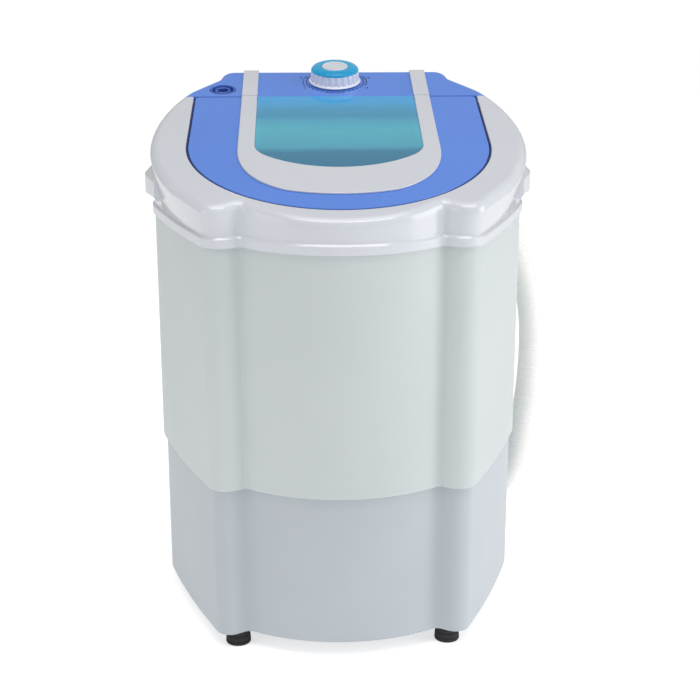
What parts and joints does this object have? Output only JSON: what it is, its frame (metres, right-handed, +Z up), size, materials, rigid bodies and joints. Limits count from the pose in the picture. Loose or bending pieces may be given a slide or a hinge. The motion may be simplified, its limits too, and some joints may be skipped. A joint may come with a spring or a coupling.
{
  "type": "top load washing machine",
  "caption": "Compact portable single-tub washing machine with a hinged window lid on a sloping deck, a wash timer knob, a pulsator and a corrugated drain hose.",
  "frame": {"origin": "on the floor, under the middle of the machine, the drain hose left out", "axes": "+Z up, -Y the front, +X to the right as seen from the front"},
  "size_m": [0.408, 0.3958, 0.5248],
  "materials": {
    "white_plastic": "glossy moulded, pearl white",
    "tub_natural": "satin, unpigmented and slightly translucent, faint green cast",
    "base_plastic": "satin gloss, cool white",
    "lid_blue": "glossy moulded blue",
    "window_teal": "clear tinted pane",
    "knob_white": "satin gloss, ribbed",
    "knob_cyan": "clear tinted ring",
    "knob_silver": "silver lacquer",
    "steel": "ground",
    "zinc_steel": "zinc plated",
    "motor_iron": "varnished laminations and painted end bells",
    "rubber_black": "matt",
    "inner_plastic": "satin",
    "black_plastic": "satin",
    "hose_cream": "satin corrugated"
  },
  "bodies": {
    "cabinet": {"base_shell": "base_plastic", "base_plate": "zinc_steel", "foot_front_left": "rubber_black", "foot_front_right": "rubber_black", "foot_rear_left": "rubber_black", "foot_rear_right": "rubber_black", "base_screw_1": "zinc_steel", "base_screw_2": "zinc_steel", "base_screw_3": "zinc_steel", "base_screw_4": "zinc_steel", "motor_mount_1": "rubber_black", "motor_mount_2": "rubber_black", "motor_mount_3": "rubber_black", "motor_bracket": "zinc_steel", "motor_housing": "motor_iron", "capacitor": "black_plastic", "drive_belt": "rubber_black", "bearing_housing": "zinc_steel", "upper_bearing": "steel", "lower_bearing": "steel", "shaft_seal": "rubber_black", "wash_tub": "tub_natural", "drain_grille": "inner_plastic", "lint_filter": "inner_plastic", "drain_pipe": "black_plastic", "drain_outlet": "black_plastic", "drain_hose": "hose_cream", "hose_nozzle": "inner_plastic", "hose_hook": "white_plastic", "cord_gland": "black_plastic", "top_cover": "white_plastic", "control_panel": "lid_blue", "panel_strip_left": "white_plastic", "panel_strip_right": "white_plastic", "wash_timer": "inner_plastic", "inlet_socket": "lid_blue", "inlet_pipe": "inner_plastic", "hinge_pin_left": "steel", "hinge_pin_right": "steel", "cover_screw_left": "zinc_steel", "cover_screw_right": "zinc_steel"},
    "lid": {"lid_panel": "lid_blue", "lid_frame": "white_plastic", "lid_window": "window_teal"},
    "knob": {"knob_body": "knob_white", "knob_ring": "knob_cyan", "knob_cap": "knob_silver", "timer_shaft": "steel"},
    "agitator": {"pulsator": "inner_plastic", "pulsator_screw": "steel", "drive_shaft": "steel", "drive_pulley": "zinc_steel", "pulley_nut": "zinc_steel"},
    "rotor": {"motor_shaft": "steel", "motor_pulley": "zinc_steel"}
  },
  "joints": [
    {"name": "lid_hinge", "type": "hinge", "parent": "cabinet", "child": "lid", "pos_m": [0, 0.09667, 0.48858], "axis": [-1, 0, 0], "range_deg": [0, 100]},
    {"name": "timer_turn", "type": "hinge", "parent": "cabinet", "child": "knob", "pos_m": [0, 0.147, 0.50375], "axis": [0, 0.2334, -0.9724], "range_deg": [0, 300]},
    {"name": "pulsator_spin", "type": "hinge", "parent": "cabinet", "child": "agitator", "pos_m": [0, 0, 0.16], "axis": [0, 0, 1], "continuous": true},
    {"name": "motor_spin", "type": "hinge", "parent": "cabinet", "child": "rotor", "pos_m": [-0.072, 0.072, 0.12], "axis": [0, 0, 1], "continuous": true}
  ],
  "couplings": [
    {"joint": "motor_spin", "follows": "pulsator_spin", "ratio": 4.388}
  ]
}
